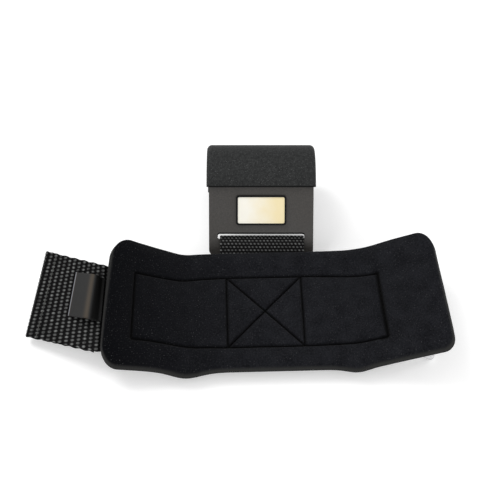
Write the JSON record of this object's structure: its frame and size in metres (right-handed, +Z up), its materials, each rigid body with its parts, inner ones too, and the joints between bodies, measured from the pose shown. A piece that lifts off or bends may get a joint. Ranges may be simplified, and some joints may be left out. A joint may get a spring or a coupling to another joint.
{
  "type": "lifting hook",
  "caption": "Steel J-shaped lifting hook with a rubber-covered curl, hung by webbing from a padded wrist cuff with a hook-and-loop strap and a metal ring.",
  "frame": {"origin": "axis of the bar seated in the hook's curl, at the middle of the hook's width", "axes": "+X along the bar, towards the ring's side of the cuff; +Z up as the part lies on a table; -Y towards the forearm edge of the open cuff"},
  "size_m": [0.245, 0.1561, 0.0454],
  "materials": {
    "coated_steel": "satin dark grey powder coat",
    "cover_rubber": "matt black rubber with a fine grain",
    "badge_black": "gloss black rim",
    "badge_ivory": "smooth ivory face, blank",
    "webbing": "coarse woven black nylon",
    "pad_jersey": "black jersey over foam",
    "backing_jersey": "black jersey over foam sheet",
    "loop_pile": "black loop pile",
    "hook_pile": "black moulded hooks",
    "label_satin": "dark satin ribbon, blank",
    "ring_steel": "polished steel wire"
  },
  "bodies": {
    "cuff": {"pad_centre": "pad_jersey", "backing_centre": "backing_jersey", "strap_centre": "webbing", "hook_loop": "webbing"},
    "hook": {"hook_plate": "coated_steel", "hook_sleeve": "cover_rubber", "badge_rim": "badge_black", "badge_face": "badge_ivory"},
    "left_wing": {"pad_left": "pad_jersey", "backing_left": "backing_jersey", "strap_left": "webbing"},
    "right_wing": {"pad_right": "pad_jersey", "backing_right": "backing_jersey", "strap_right": "webbing", "ring_keeper": "webbing"},
    "ring": {"ring": "ring_steel"},
    "tail": {"tail_strap": "webbing", "tail_fold": "webbing", "loop_tape": "loop_pile"},
    "tail_end": {"tail_return": "webbing", "hook_tape": "hook_pile"},
    "label": {"care_label": "label_satin"}
  },
  "joints": [
    {"name": "hook_swing", "type": "hinge", "parent": "cuff", "child": "hook", "pos_m": [0.0005, -0.03976, -0.01433], "axis": [1, 0, 0], "range_deg": [-150, 50]},
    {"name": "left_wrap", "type": "hinge", "parent": "cuff", "child": "left_wing", "pos_m": [-0.03241, -0.09074, -0.00566], "axis": [-0.0279, 0.9982, 0.0537], "range_deg": [-12, 80]},
    {"name": "right_wrap", "type": "hinge", "parent": "cuff", "child": "right_wing", "pos_m": [0.03556, -0.08884, -0.00556], "axis": [0.0279, -0.9982, -0.0537], "range_deg": [-12, 80]},
    {"name": "ring_swing", "type": "hinge", "parent": "right_wing", "child": "ring", "pos_m": [0.08621, -0.08929, -0.00808], "axis": [0.0279, -0.9982, -0.0537], "range_deg": [-99, 64]},
    {"name": "tail_bend", "type": "hinge", "parent": "left_wing", "child": "tail", "pos_m": [-0.09283, -0.09475, 0.00022], "axis": [0.0369, 0.9623, 0.2694], "range_deg": [-30, 45]},
    {"name": "tail_peel", "type": "hinge", "parent": "tail", "child": "tail_end", "pos_m": [-0.12895, -0.08323, -0.00326], "axis": [0.2295, 0.7869, 0.5729], "range_deg": [0, 160], "deforming": ["tail_fold"]},
    {"name": "label_flap", "type": "hinge", "parent": "tail", "child": "label", "pos_m": [-0.09594, -0.08862, 0.00325], "axis": [0.0661, 0.9525, 0.2973], "range_deg": [0, 60]}
  ]
}
